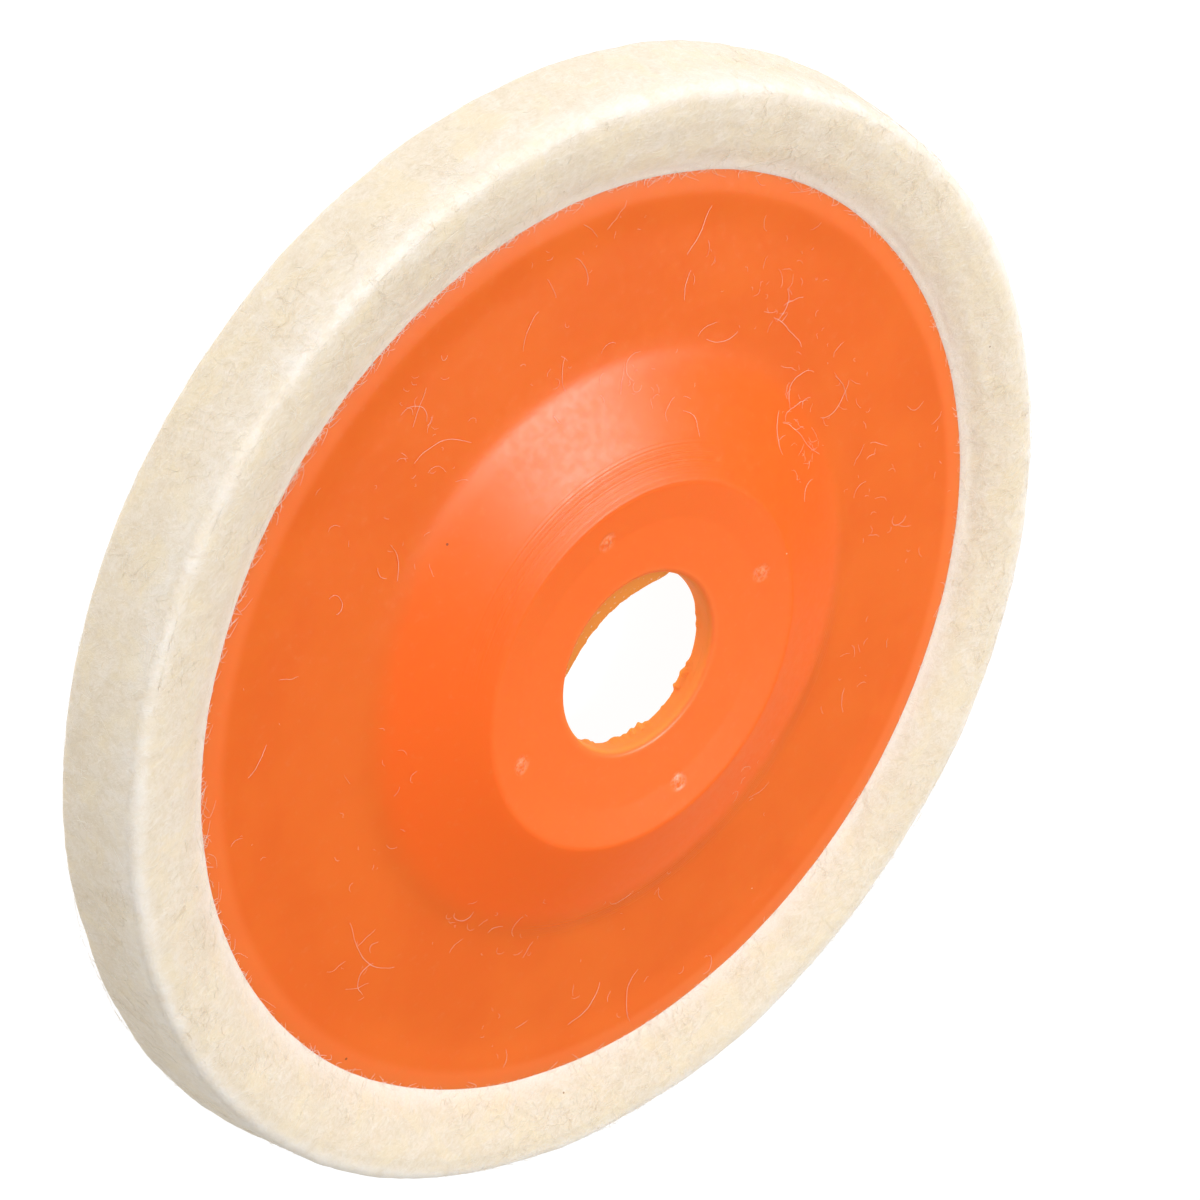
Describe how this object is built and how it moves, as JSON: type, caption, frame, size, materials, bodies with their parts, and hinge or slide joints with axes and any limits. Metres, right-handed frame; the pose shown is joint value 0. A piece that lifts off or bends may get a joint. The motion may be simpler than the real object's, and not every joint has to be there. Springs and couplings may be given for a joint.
{
  "type": "felt polishing wheel",
  "caption": "Round felt polishing wheel: a thick pressed-wool ring glued to a moulded plastic backing plate with a raised cone hub and a bore.",
  "frame": {"origin": "centre of the flat felt working face", "axes": "+Z along the spindle axis, from the working face towards the grinder; the four gate marks on the hub lie on +X, +Y, -X and -Y"},
  "size_m": [0.1, 0.1, 0.0091],
  "materials": {
    "plate_plastic": "orange moulded plastic, semi-gloss",
    "dried_adhesive": "dried amber adhesive",
    "wool_felt": "cream pressed wool felt, fuzzy"
  },
  "bodies": {
    "root": {"backing_plate": "plate_plastic", "adhesive_layer": "dried_adhesive", "felt_wheel": "wool_felt"}
  },
  "joints": []
}
